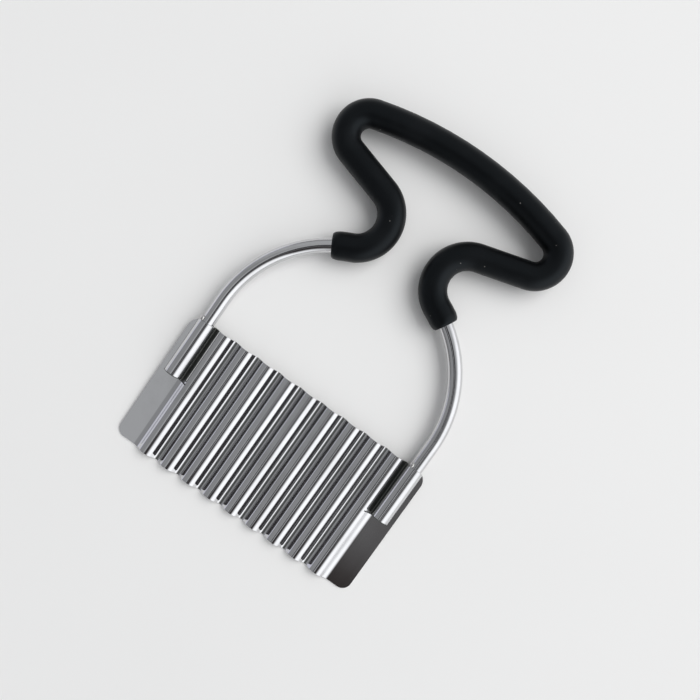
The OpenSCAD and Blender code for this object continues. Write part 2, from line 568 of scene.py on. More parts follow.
def start_ring(name: str, at: Vector, heading: float, radius: float, facets: int) -> bpy.types.Object:
    """Starts a tube with a ring across its path and stays in edit mode.

    Args:
        name: Name of the new object.
        at: The ring's middle in x and y.
        heading: Direction of the path, as an angle to the left of +x.
        radius: Radius of the ring.
        facets: Number of its vertices.

    Returns:
        The new object.
    """
    deselect()
    bpy.ops.mesh.primitive_circle_add(
        vertices=facets,
        radius=radius,
        location=(at.x, at.y, 0.0),
        rotation=(math.pi / 2, 0.0, heading - math.pi / 2),
    )
    piece = bpy.context.active_object
    piece.name = name
    apply_place()
    edit_all(piece)
    return piece


def pull(piece: bpy.types.Object, rows: Sequence[float]) -> None:
    """Pulls a drawn section along the blade and leaves edit mode.

    Args:
        piece: The object with the section, in edit mode.
        rows: Heights of the blade between which it is pulled.
    """
    bpy.ops.mesh.select_all(action="SELECT")
    bpy.ops.transform.translate(value=(0.0, rows[0], 0.0))
    for low, high in zip(rows, rows[1:]):
        bpy.ops.mesh.extrude_region_move(TRANSFORM_OT_translate={"value": (0.0, high - low, 0.0)})
    leave_edit()


def raise_to(piece: bpy.types.Object, height: float) -> None:
    """Moves a mesh up in the flat frame.

    Args:
        piece: The object, in object mode.
        height: Distance to move it.
    """
    edit_all(piece)
    bpy.ops.transform.translate(value=(0.0, 0.0, height))
    leave_edit()


@dataclass(frozen=True)
class Table:
    """Lays pieces drawn in the flat frame down where the solids lie.

    Attributes:
        handle: Sizes that give the tilt.
    """

    handle: HandleSizes

    def lay(self, piece: bpy.types.Object) -> None:
        """Tips a piece onto the table and applies its place to its mesh.

        Args:
            piece: The object, drawn in the flat frame.
        """
        low = CAD_BOX[0]
        angle = self.handle.rest_angle
        blade = self.handle.blade
        front_y = -(blade.wave_height + blade.sheet / 2) * math.sin(angle)
        piece.location = (0.0, low.y - front_y, low.z + blade.sheet / 2 * math.cos(angle))
        piece.rotation_euler = (angle, 0.0, 0.0)
        select_only(piece)
        apply_place()


# Shader graphs


class Signal:
    """A node's output, on which Python arithmetic adds Math nodes."""

    def __init__(self, graph: "Graph", socket: bpy.types.NodeSocket) -> None:
        """Wraps a socket of a graph."""
        self.graph = graph
        self.socket = socket

    def math(self, operation: str, first: Any, second: Any) -> "Signal":
        """Adds a Math node.

        Args:
            operation: The node's operation.
            first: Its first value or link.
            second: Its second value or link.

        Returns:
            The node's output.
        """
        return self.graph.node("ShaderNodeMath", {"operation": operation}, {0: first, 1: second})

    def __add__(self, other: Any) -> "Signal":
        """Adds."""
        return self.math("ADD", self, other)

    def __radd__(self, other: Any) -> "Signal":
        """Adds, reflected."""
        return self.math("ADD", other, self)

    def __sub__(self, other: Any) -> "Signal":
        """Subtracts."""
        return self.math("SUBTRACT", self, other)

    def __rsub__(self, other: Any) -> "Signal":
        """Subtracts, reflected."""
        return self.math("SUBTRACT", other, self)

    def __mul__(self, other: Any) -> "Signal":
        """Multiplies."""
        return self.math("MULTIPLY", self, other)

    def __rmul__(self, other: Any) -> "Signal":
        """Multiplies, reflected."""
        return self.math("MULTIPLY", other, self)

    def at_least(self, other: Any) -> "Signal":
        """Gives the larger of two values."""
        return self.math("MAXIMUM", self, other)

    def rise(self, edge: Span) -> "Signal":
        """Rises smoothly from 0 to 1 over an edge."""
        inputs = {0: self, 1: edge[0], 2: edge[1]}
        return self.graph.node("ShaderNodeMapRange", {"interpolation_type": "SMOOTHSTEP"}, inputs)

    def fall(self, edge: Span) -> "Signal":
        """Falls smoothly from 1 to 0 over an edge."""
        return 1.0 - self.rise(edge)


class Graph:
    """A node tree that is filled by one method."""

    def __init__(self, tree: bpy.types.NodeTree) -> None:
        """Empties a tree and takes it over."""
        self.tree = tree
        tree.nodes.clear()

    def node(
        self,
        kind: str,
        settings: Optional[dict[str, Any]] = None,
        inputs: Optional[dict[Union[int, str], Any]] = None,
        output: Union[int, str] = 0,
    ) -> Optional[Signal]:
        """Adds a node.

        Args:
            kind: The node's type.
            settings: Its properties, set first.
            inputs: Values or links of its sockets.
            output: The socket to give back.

        Returns:
            The chosen output, or nothing for a node without outputs.
        """
        made = self.tree.nodes.new(kind)
        for key, value in (settings or {}).items():
            setattr(made, key, value)
        for key, value in (inputs or {}).items():
            socket = made.inputs[key]
            if isinstance(value, Signal):
                self.tree.links.new(value.socket, socket)
            else:
                socket.default_value = (*value, 1.0) if socket.type == "RGBA" else value
        return Signal(self, made.outputs[output]) if len(made.outputs) else None

    def where(self) -> Signal:
        """Gives the place on a piece."""
        return self.node("ShaderNodeTexCoord", {}, {}, "Object")

    def noise(self, where: Signal, scale: float, detail: float = 2.0) -> Signal:
        """Adds a Noise node.

        Args:
            where: Coordinates.
            scale: Number of features per unit.
            detail: Number of finer layers.

        Returns:
            Its value, about 0.5.
        """
        inputs = {"Vector": where, "Scale": scale, "Detail": detail}
        return self.node("ShaderNodeTexNoise", {}, inputs)

    def bump(
        self, height: Signal, depth: float, strength: float = 1.0, under: Optional[Signal] = None
    ) -> Signal:
        """Adds a Bump node.

        Args:
            height: Height of the surface, in depths.
            depth: Depth of the bumps.
            strength: Share of the bumps that shows.
            under: Normal on which the bumps lie.

        Returns:
            The new normal.
        """
        inputs = {"Strength": strength, "Distance": depth, "Height": height}
        if under is not None:
            inputs["Normal"] = under
        return self.node("ShaderNodeBump", {}, inputs)

    def blend(self, amount: Any, first: Any, second: Any) -> Signal:
        """Mixes two colours.

        Args:
            amount: Share of the second colour.
            first: First colour.
            second: Second colour.

        Returns:
            The mixed colour.
        """
        settings = {"data_type": "RGBA"}
        return self.node("ShaderNodeMix", settings, {0: amount, 6: first, 7: second}, 2)


# Finishes


@dataclass(frozen=True)
class Finish:
    """A material with one Principled shader.

    Attributes:
        name: Name of the material.
    """

    name: str

    def sockets(self, graph: Graph) -> dict[str, Any]:
        """Gives what goes into the shader.

        Args:
            graph: The material's graph.

        Returns:
            Values and links by the shader's sockets.
        """
        raise NotImplementedError

    def material(self) -> bpy.types.Material:
        """Makes the material.

        Returns:
            The new material.
        """
        material = bpy.data.materials.new(self.name)
        material.use_nodes = True
        graph = Graph(material.node_tree)
        shader = graph.node("ShaderNodeBsdfPrincipled", {}, self.sockets(graph))
        graph.node("ShaderNodeOutputMaterial", {}, {"Surface": shader})
        return material


@dataclass(frozen=True)
class PolishedSteel(Finish):
    """Bright stainless steel with faint polishing lines and handling marks, and painted shade where a
    piece carries the shade mark.

    Attributes:
        colour: Colour of the clean metal.
        stained: Colour under handling marks.
        painted_shade: Colour of the painted shade, laid in the blade's valleys, in the trenches
            beside its sleeves and at their lower ends.
        shade_roughness: Roughness where that shade is painted.
        roughness: Lowest and highest roughness elsewhere.
        grain: Polishing lines per metre in x, y and z.
        grain_depth: Depth of the polishing lines.
        marks: Handling marks per metre.
        mark_edge: Noise over which a handling mark sets in.
        wipes: Wipe marks per metre.
        ripple: Waves of the metal's surface per metre.
        ripple_depth: Depth of those waves.
    """

    colour: Colour = (0.66, 0.66, 0.67)
    stained: Colour = (0.60, 0.60, 0.605)
    # Painted shade: dark colour standing in for the shade in the blade's hollows
    painted_shade: Colour = (0.180, 0.185, 0.176)
    shade_roughness: float = 0.5
    roughness: Span = (0.05, 0.11)
    grain: Sequence[float] = (5200.0, 70.0, 5200.0)
    grain_depth: float = 0.0001 * MM
    marks: float = 55.0
    mark_edge: Span = (0.46, 0.72)
    wipes: float = 420.0
    ripple: float = 110.0
    ripple_depth: float = 0.008 * MM

    def sockets(self, graph: Graph) -> dict[str, Any]:
        """Gives what goes into the shader.

        Args:
            graph: The material's graph.

        Returns:
            Values and links by the shader's sockets.
        """
        where = graph.where()
        along_grain = graph.node("ShaderNodeMapping", {}, {"Vector": where, "Scale": self.grain})
        lines = graph.noise(along_grain, 1.0, 3.0)
        marks = graph.noise(where, self.marks, 5.0).rise(self.mark_edge)
        wipes = graph.noise(where, self.wipes, 3.0)
        low, high = self.roughness
        polish = low + (high - low) * (0.45 * lines + 0.35 * wipes + 0.35 * marks)
        bright = graph.blend(marks, self.colour, self.stained)
        # Painted shade: the blade's mark darkens the colour and raises the roughness in its hollows
        painted_shade = graph.node("ShaderNodeAttribute", {"attribute_name": PAINTED_SHADE_MARK}, {}, "Fac")
        ripple = graph.bump(graph.noise(where, self.ripple, 1.0), self.ripple_depth)
        return {
            "Base Color": graph.blend(painted_shade, bright, self.painted_shade),
            "Metallic": 1.0,
            "Roughness": polish + painted_shade * (self.shade_roughness - polish),
            "Normal": graph.bump(lines, self.grain_depth, under=ripple),
        }


@dataclass(frozen=True)
class SoftRubber(Finish):
    """Matte black soft sleeve with a fine skin and a few specks of dust.

    Attributes:
        colour: Colour of the clean sleeve.
        worn: Colour where hands have greyed it.
        wear: Worn places per metre.
        wear_edge: Noise over which a worn place sets in.
        roughness: Lowest and highest roughness.
        gloss: Strength of its reflections.
        sheen: Tint of its reflections.
        skin: Grains of its skin per metre.
        skin_depth: Depth of those grains.
        dust: Colour of the dust.
        dust_cover: Share of the sleeve's colour that a speck hides.
        specks: Cells per metre that can hold a speck.
        speck_edge: Distance over which a speck ends, as a share of its cell.
        patches: Dusty patches per metre.
        patch_edge: Noise over which a dusty patch sets in.
    """

    colour: Colour = (0.0024, 0.0026, 0.0030)
    worn: Colour = (0.0042, 0.0044, 0.0050)
    wear: float = 70.0
    wear_edge: Span = (0.42, 0.70)
    roughness: Span = (0.35, 0.47)
    gloss: float = 0.20
    sheen: Colour = (0.78, 0.91, 1.0)
    skin: float = 5200.0
    skin_depth: float = 0.02 * MM
    dust: Colour = (0.22, 0.21, 0.20)
    dust_cover: float = 0.75
    specks: float = 300.0
    speck_edge: Span = (0.05, 0.085)
    patches: float = 240.0
    patch_edge: Span = (0.60, 0.66)

    def sockets(self, graph: Graph) -> dict[str, Any]:
        """Gives what goes into the shader.

        Args:
            graph: The material's graph.

        Returns:
            Values and links by the shader's sockets.
        """
        where = graph.where()
        wear = graph.noise(where, self.wear, 4.0).rise(self.wear_edge)
        skin = graph.noise(where, self.skin)
        cells = graph.node("ShaderNodeTexVoronoi", {}, {"Vector": where, "Scale": self.specks})
        patch = graph.noise(where, self.patches, 1.0).rise(self.patch_edge)
        dust = self.dust_cover * cells.fall(self.speck_edge) * patch
        black = graph.blend(wear, self.colour, self.worn)
        low, high = self.roughness
        return {
            "Base Color": graph.blend(dust, black, self.dust),
            "Roughness": low + (high - low) * (0.6 * wear + 0.4 * skin),
            "Specular IOR Level": self.gloss,
            "Specular Tint": self.sheen,
            "Normal": graph.bump(skin, self.skin_depth, strength=0.5),
        }


@dataclass(frozen=True)
class WeldMetal(Finish):
    """Bright, slightly uneven metal of a weld bead.

    Attributes:
        colour: Colour of the bead.
        tint: Colour of its heat tint.
        tints: Tinted places per metre.
        tint_edge: Noise over which the tint sets in.
        scales: Scales of the bead's surface per metre.
        scale_depth: Depth of those scales.
    """

    colour: Colour = (0.68, 0.67, 0.66)
    tint: Colour = (0.50, 0.47, 0.43)
    tints: float = 700.0
    tint_edge: Span = (0.48, 0.70)
    scales: float = 3000.0
    scale_depth: float = 0.03 * MM

    def sockets(self, graph: Graph) -> dict[str, Any]:
        """Gives what goes into the shader.

        Args:
            graph: The material's graph.

        Returns:
            Values and links by the shader's sockets.
        """
        where = graph.where()
        heat = graph.noise(where, self.tints, 3.0).rise(self.tint_edge)
        return {
            "Base Color": graph.blend(heat, self.colour, self.tint),
            "Metallic": 1.0,
            "Roughness": 0.2 + 0.2 * heat,
            "Normal": graph.bump(graph.noise(where, self.scales), self.scale_depth, strength=0.6),
        }


@dataclass(frozen=True)
class PaleFloor(Finish):
    """Plain pale floor.

    Attributes:
        colour: Its colour.
        shade: Its colour where it is a little darker.
        clouds: Darker places per metre.
        roughness: Its roughness.
    """

    colour: Colour = (0.86, 0.855, 0.845)
    shade: Colour = (0.83, 0.825, 0.815)
    clouds: float = 6.0
    roughness: float = 0.65

    def sockets(self, graph: Graph) -> dict[str, Any]:
        """Gives what goes into the shader.

        Args:
            graph: The material's graph.

        Returns:
            Values and links by the shader's sockets.
        """
        clouds = graph.noise(graph.where(), self.clouds)
        colour = graph.blend(clouds, self.colour, self.shade)
        return {"Base Color": colour, "Roughness": self.roughness}


@dataclass(frozen=True)
class DarkCard(Finish):
    """Dark card that puts dark lines into bright metal.

    Attributes:
        colour: Its colour.
        glow: Light that it gives.
    """

    colour: Colour = (0.0, 0.0, 0.0)
    glow: Colour = (0.062, 0.060, 0.064)

    def sockets(self, graph: Graph) -> dict[str, Any]:
        """Gives what goes into the shader.

        Args:
            graph: The material's graph, to which the card adds nothing.

        Returns:
            Values by the shader's sockets.
        """
        return {
            "Base Color": self.colour,
            "Roughness": 1.0,
            "Specular IOR Level": 0.0,
            "Emission Color": self.glow,
            "Emission Strength": 1.0,
        }


# Sub-assemblies


@dataclass
class SubAssembly:
    """A piece of the cutter, which stands for one of the solids.

    Attributes:
        node: The solid that it stands for.
        slot: Its material slot in the record; not used.
        material: Its material.
        table: Lays it down.
    """

    node: str
    slot: Slot
    material: bpy.types.Material
    table: Table

    @property
    def name(self) -> str:
        """Name of the finished piece."""
        return f"dressed_{self.node}"

    def model(self) -> bpy.types.Object:
        """Models the piece.

        Returns:
            The piece in the flat frame.
        """
        raise NotImplementedError

    def dress(self, piece: bpy.types.Object) -> None:
        """Gives the piece its finish and its place in the frame.

        Args:
            piece: The piece as it lies on the table.
        """
        piece.data.materials.clear()
        piece.data.materials.append(self.material)
        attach(piece, "root")
        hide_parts(self.node)

    def build(self) -> bpy.types.Object:
        """Models the piece, lays it down and dresses it.

        Returns:
            The finished piece.
        """
        piece = self.model()
        self.table.lay(piece)
        self.dress(piece)
        return piece


@dataclass
class Blade(SubAssembly):
    """Corrugated sheet with flat flanges and two rod sleeves pressed up from them.

    Attributes:
        sizes: Driving sizes.
        edge_bevel: Width of the rounding along the cut edges.
        corner_cuts: Number of cuts that round a corner.
        sleeve_end_rounding: Width of the rounding at the lower ends of the rod sleeves.
        sleeve_margin: Depth below the rod's axis from which a sleeve's outer face counts.
        valley_shade: Strength of the painted shade at the bottoms of the valleys, at most 1.
        valley_reach: Half the width of the painted shade along a valley.
        valley_fade: Width over which that strip fades out.
        trench_depth: Depth below the crests at which the painted shade in the trench beside a sleeve
            starts.
        trench_fade: Further depth at which that painted shade is full.
        end_shade: Share of the rounding at a sleeve's lower end that gets painted shade.
    """

    sizes: BladeSizes
    edge_bevel: float = 0.15 * MM
    corner_cuts: int = 12
    sleeve_end_rounding: float = 0.6 * MM
    sleeve_margin: float = 0.1 * MM
    valley_shade: float = 0.9
    valley_reach: float = 0.65 * MM
    valley_fade: float = 0.3 * MM
    trench_depth: float = 0.4 * MM
    trench_fade: float = 0.7 * MM
    end_shade: float = 0.8

    def pen(self, at: Vector, heading: float = 0.0) -> BendPen:
        """Gives a pen for the sheet's section."""
        return BendPen(Plane.SECTION, at, heading)

    def draw_waves(self) -> tuple[bpy.types.Object, BendPen]:
        """Draws the section from the middle crest to the inner end of the slit.

        Returns:
            The object, in edit mode, and the pen where it stopped.
        """
        sizes = self.sizes
        start = Vector((0.0, sizes.wave_height))
        piece = start_point("blade_waves", start)
        pen = self.pen(start)
        for _ in range((sizes.wave_count - 1) // 2):
            pen.right(sizes.crest_radius, sizes.flank_angle)
            pen.forward(sizes.flank_length)
            pen.left(sizes.valley_radius, 2 * sizes.flank_angle)
            pen.forward(sizes.flank_length)
            pen.right(sizes.crest_radius, sizes.flank_angle)
        pen.right(sizes.crest_radius, math.asin(sizes.slit_start / sizes.crest_radius))
        return piece, pen

    def draw_run_out(self, name: str, pen: BendPen, radius: float) -> bpy.types.Object:
        """Draws the section of an outermost flank down to the flat.

        Args:
            name: Name of the new object.
            pen: The pen at the inner end of the slit.
            radius: Bend radius of the wave's foot.

        Returns:
            The object, in edit mode.
        """
        sizes = self.sizes
        piece = start_point(name, pen.at)
        pen.right(sizes.crest_radius, sizes.flank_angle + pen.heading)
        pen.forward(sizes.run_out(radius))
        pen.left(radius, sizes.flank_angle)
        return piece

    def draw_flange(self, pen: BendPen) -> bpy.types.Object:
        """Draws the section of the flange below the slit.

        Args:
            pen: The pen at the inner end of the slit.

        Returns:
            The object, in edit mode.
        """
        piece = self.draw_run_out("blade_flange", pen, self.sizes.foot_radius)
        pen.forward(self.sizes.strip_x - pen.at.x, steps=4)
        return piece

    def draw_sleeve(self, pen: BendPen) -> bpy.types.Object:
        """Draws the section of the rod sleeve above the slit.

        Args:
            pen: The pen at the inner end of the slit.

        Returns:
            The object, in edit mode.
        """
        sizes = self.sizes
        piece = self.draw_run_out("blade_sleeve", pen, sizes.trench_radius)
        wall = sizes.rod_z - sizes.sleeve_foot_radius
        pen.forward(sizes.floor_width)
        pen.left(sizes.sleeve_foot_radius, math.pi / 2)
        pen.forward(wall)
        pen.right(sizes.sleeve_radius, math.pi)
        pen.forward(wall)
        pen.left(sizes.sleeve_foot_radius, math.pi / 2)
        return piece

    def draw_half(self) -> bpy.types.Object:
        """Draws the right half of the sheet, with square corners and no thickness yet.

        Returns:
            The half sheet, in object mode.
        """
        sizes = self.sizes
        rows = (0.0, sizes.sleeve_y - sizes.slit_width, sizes.sleeve_y, sizes.height)
        waves, pen = self.draw_waves()
        pull(waves, rows)
        flange = self.draw_flange(self.pen(pen.at, pen.heading))
        pull(flange, rows[:2])
        sleeve = self.draw_sleeve(self.pen(pen.at, pen.heading))
        pull(sleeve, rows[2:])
        inner = Vector((sizes.strip_x, 0.0))
        strip = start_point("blade_strip", inner)
        self.pen(inner).forward(sizes.strip_width, steps=2)
        pull(strip, rows)
        piece = join((waves, flange, sleeve, strip), self.name)
        weld_seams(piece)
        return piece

    def round_corner(self, edge_y: float, radius: float, up: float) -> None:
        """Cuts a corner of the right half round, in edit mode.

        Args:
            edge_y: Height of the edge at whose end the corner lies.
            radius: Radius of the corner.
            up: 1 for a corner at the top edge and -1 for one at the cutting edge.
        """
        centre = Vector((self.sizes.half_width - radius, edge_y - up * radius, 0.0))
        for cut in range(self.corner_cuts):
            angle = (cut + 0.5) / self.corner_cuts * math.pi / 2
            outward = Vector((math.cos(angle), up * math.sin(angle), 0.0))
            bpy.ops.mesh.select_all(action="SELECT")
            bpy.ops.mesh.bisect(
                plane_co=centre + radius * outward,
                plane_no=outward,
                clear_outer=True,
                threshold=CUT_REACH,
            )

    def on_sleeve(self, place: Vector) -> bool:
        """Tells whether a place beside or over a rod's axis lies on the outer face of its sleeve.

        Args:
            place: A place on the blade in the flat frame.

        Returns:
            Whether it does.
        """
        sizes = self.sizes
        reach = math.hypot(abs(place.x) - sizes.rod_x, max(0.0, place.z - sizes.rod_z))
        return reach > sizes.sleeve_radius and place.z > sizes.rod_z - self.sleeve_margin

    def round_sleeve_ends(self, piece: bpy.types.Object) -> None:
        """Rounds the lower ends of the rod sleeves.

        Args:
            piece: The blade with its thickness, in object mode.
        """
        end = self.sizes.sleeve_y
        inner = self.sizes.rod_x - self.sizes.sleeve_half_width

        def on_end(place: Vector) -> bool:
            """Tells whether a place lies on the outer edge of a sleeve's lower end."""
            at_end = abs(place.y - end) < NEAR and abs(place.x) > inner
            return at_end and self.on_sleeve(place)

        pick(piece, on_end)
        bpy.ops.mesh.bevel(offset=self.sleeve_end_rounding, segments=4, affect="EDGES")
        leave_edit()

    def mark_painted_shade(self, piece: bpy.types.Object) -> None:
        """Marks where shade is painted: in the valleys, beside the sleeves and at their ends.

        Args:
            piece: The blade in the flat frame.
        """
        sizes = self.sizes
        trench = (sizes.last_crest_x + sizes.slit_start, sizes.rod_x - sizes.sleeve_inside_radius / 2)
        trench_top = sizes.wave_height - self.trench_depth
        slit_y = sizes.sleeve_y - sizes.slit_width / 2
        end_y = sizes.sleeve_y + self.end_shade * self.sleeve_end_rounding
        sleeve_x = sizes.rod_x - sizes.sleeve_half_width
        marks = piece.data.attributes.new(PAINTED_SHADE_MARK, "FLOAT", "POINT")
        for vertex, mark in zip(piece.data.vertices, marks.data):
            x, y, z = vertex.co
            x = abs(x)
            # Painted shade: along the valley bottoms, in the trenches beside the sleeves and at the
            # sleeves' lower ends
            if z > 0 and x < sizes.last_crest_x:
                off_valley = abs(x % sizes.wave_pitch - sizes.wave_pitch / 2)
                strip = (self.valley_reach - off_valley) / self.valley_fade
                mark.value = self.valley_shade * clamped(strip)
            if slit_y < y and trench[0] < x < trench[1]:
                mark.value = clamped((trench_top - z) / self.trench_fade)
            if slit_y < y < end_y and sleeve_x < x and z > sizes.rod_z:
                mark.value = 1.0

    def model(self) -> bpy.types.Object:
        """Models the blade.

        Returns:
            The blade in the flat frame.
        """
        sizes = self.sizes
        piece = self.draw_half()
        edit(piece)
        self.round_corner(0.0, sizes.corner_radius, -1.0)
        self.round_corner(sizes.height, sizes.shoulder_radius, 1.0)
        leave_edit()
        mirror(piece)
        apply_modifier(piece, "SOLIDIFY", thickness=sizes.sheet, offset=0.0, use_even_offset=True)
        self.round_sleeve_ends(piece)
        apply_modifier(
            piece,
            "BEVEL",
            width=self.edge_bevel,
            segments=3,
            limit_method="ANGLE",
            angle_limit=math.radians(60),
        )
        smooth(piece, angle=35.0)
        apply_modifier(piece, "WEIGHTED_NORMAL", weight=100, keep_sharp=True)
        # Marks the vertices on which shade is painted
        self.mark_painted_shade(piece)
        return piece


def draw_loop(pen: BendPen, sizes: HandleSizes) -> None:
    """Draws the right neck, leg and loop of the handle and half its bar.

    Args:
        pen: The pen where the right arm bend ends.
        sizes: Driving sizes of the handle.
    """
    pen.right(sizes.neck_radius, sizes.neck_turn)
    pen.forward(sizes.leg_length, steps=4)
    pen.left(sizes.lobe_radius, sizes.lobe_turn)
    pen.left(sizes.bar_radius, sizes.bar_turn)


@dataclass
class HandleRod(SubAssembly):
    """Bent rod from one sleeve of the blade round to the other.

    Attributes:
        sizes: Driving sizes.
        facets: Number of facets round the rod.
    """

    sizes: HandleSizes
    facets: int = 48

    def model(self) -> bpy.types.Object:
        """Models the rod.

        Returns:
            The rod in the flat frame.
        """
        sizes = self.sizes
        start = Vector((sizes.blade.rod_x, sizes.blade.sleeve_y + sizes.rod_inset))
        end_radius = sizes.rod_radius - sizes.rod_chamfer
        piece = start_ring(self.name, start, math.pi / 2, end_radius, self.facets)
        pen = BendPen(Plane.PLAN, start, math.pi / 2)
        pen.forward(sizes.rod_chamfer)
        pen.grow(sizes.rod_radius / end_radius)
        pen.forward(sizes.arm_y - pen.at.y, steps=6)
        pen.left(sizes.blade.rod_x, sizes.arm_turn)
        draw_loop(pen, sizes)
        leave_edit()
        pick(piece, lambda place: place.y < start.y + NEAR and place.x > 0)
        bpy.ops.mesh.edge_face_add()
        leave_edit()
        mirror(piece)
        smooth(piece, angle=35.0)
        raise_to(piece, sizes.blade.rod_z)
        return piece


@dataclass
class GripSleeve(SubAssembly):
    """Soft sleeve over the necks, legs, loops and bar of the rod.

    Attributes:
        sizes: Driving sizes.
        facets: Number of facets round the sleeve.
        cuff_rings: Number of rings along a drawn-in end.
        lip_middle: Place of the middle of a lip's rounding along and across it, as a share of it.
    """

    sizes: HandleSizes
    facets: int = 56
    cuff_rings: int = 8
    lip_middle: float = 0.35

    def cuff_profile(self, place: float) -> float:
        """Gives the radius of a drawn-in end.

        Args:
            place: Distance from the end's mouth.

        Returns:
            The radius there.
        """
        sizes = self.sizes
        draw = sizes.grip_radius - sizes.cuff_radius
        arc = (sizes.cuff_length**2 + draw**2) / (2 * draw)
        rest = sizes.cuff_length - place
        return sizes.grip_radius - arc + math.sqrt(arc**2 - rest**2)

    def draw_bore(self, pen: BendPen) -> None:
        """Draws the bore from the middle of the grip bar to its right mouth.

        Args:
            pen: The pen in the middle of the grip bar, heading to the right.
        """
        sizes = self.sizes
        pen.right(sizes.bar_radius, sizes.bar_turn)
        pen.right(sizes.lobe_radius, sizes.lobe_turn)
        pen.forward(sizes.leg_length, steps=4)
        pen.left(sizes.neck_radius, sizes.neck_turn)
        pen.right(sizes.blade.rod_x, sizes.arm_turn - sizes.tail_angle)
        pen.forward(sizes.cuff_length)

    def draw_cuff(self, pen: BendPen) -> None:
        """Draws the drawn-in end from the ring at the mouth of the bore.

        Args:
            pen: The pen at that ring, heading back along the bore.
        """
        sizes = self.sizes
        lip = sizes.cuff_lip
        middle = self.lip_middle * lip
        places = [
            (0.0, sizes.cuff_radius - lip),
            (middle, sizes.cuff_radius - middle),
            (lip, sizes.cuff_radius),
        ]
        for ring in range(1, self.cuff_rings + 1):
            place = lip + (sizes.cuff_length - lip) * ring / self.cuff_rings
            places.append((place, self.cuff_profile(place)))
        radius = sizes.bore_radius
        done = 0.0
        for place, wanted in places:
            pen.forward(place - done)
            pen.grow(wanted / radius)
            radius = wanted
            done = place

    def model(self) -> bpy.types.Object:
        """Models the grip sleeve.

        Returns:
            The sleeve in the flat frame.
        """
        sizes = self.sizes
        start = Vector((0.0, sizes.bar_y))
        piece = start_ring(self.name, start, 0.0, sizes.bore_radius, self.facets)
        pen = BendPen(Plane.PLAN, start, 0.0)
        self.draw_bore(pen)
        pen.heading += math.pi
        self.draw_cuff(pen)
        pen.left(sizes.blade.rod_x, sizes.arm_turn - sizes.tail_angle)
        draw_loop(pen, sizes)
        leave_edit()
        mirror(piece)
        smooth(piece, angle=50.0)
        raise_to(piece, sizes.blade.rod_z)
        return piece


@dataclass
class TackWeld(SubAssembly):
    """Small weld bead in the corner between a sleeve's top edge and the rod.

    Attributes:
        sizes: Driving sizes of the handle.
        side: The rod on which it sits.
        radius: Radius of the bead.
        stretch: Factors by which the bead is stretched in x, y and z.
        angle: Its place round the rod, from +x towards the front.
        rise: Distance of its middle above the blade's top edge.
        dent_depth: Depth of its dents.
        dent_width: Width of its dents.
        dent_level: Height in the dents' texture that stays where it is.
    """

    sizes: HandleSizes
    side: Side
    radius: float = 1.1 * MM
    stretch: Sequence[float] = (0.9, 1.3, 0.9)
    angle: float = math.radians(138)
    rise: float = 0.7 * MM
    dent_depth: float = 0.22 * MM
    dent_width: float = 0.9 * MM
    dent_level: float = 0.62

    def model(self) -> bpy.types.Object:
        """Models the bead.

        Returns:
            The bead in the flat frame.
        """
        blade = self.sizes.blade
        reach = blade.sleeve_inside_radius
        x = self.side.value * blade.rod_x + reach * math.cos(self.angle)
        z = blade.rod_z + reach * math.sin(self.angle)
        middle = Vector((x, blade.height + self.rise, z))
        deselect()
        bpy.ops.mesh.primitive_ico_sphere_add(subdivisions=5, radius=self.radius, location=middle)
        piece = bpy.context.active_object
        piece.name = self.name
        apply_place()
        edit_all(piece)
        bpy.ops.transform.resize(value=self.stretch, center_override=middle)
        leave_edit()
        dents = bpy.data.textures.new(f"{piece.name}_dents", type="CLOUDS")
        dents.noise_scale = self.dent_width
        apply_modifier(
            piece, "DISPLACE", texture=dents, strength=self.dent_depth, mid_level=self.dent_level
        )
        smooth(piece, angle=80.0)
        return piece


# Studio


@dataclass(frozen=True)
class PhotoView:
    """Directions of the photograph on the table.

    Attributes:
        right: Right in the picture.
        up: Up in the picture.
    """

    right: Sequence[float] = (0.818, 0.575, 0.0)
    up: Sequence[float] = (-0.575, 0.818, 0.0)

    def place(self, right: float, up: float, height: float) -> Vector:
        """Places a point by the picture's directions.

        Args:
            right: Distance to the right of the origin.
            up: Distance up in the picture.
            height: Height above the table.

        Returns:
            The point.
        """
        flat = right * Vector(self.right) + up * Vector(self.up)
        return flat + Vector((0.0, 0.0, height))


@dataclass(frozen=True)
class Aim:
    """Direction away from the cutter, as its lengths along the cutter's axes.

    Attributes:
        across: Length along the cutting edge, positive to the right.
        ahead: Length from the cutting edge towards the grip bar.
        height: Length upwards.
    """

    across: Signal
    ahead: Signal
    height: Signal


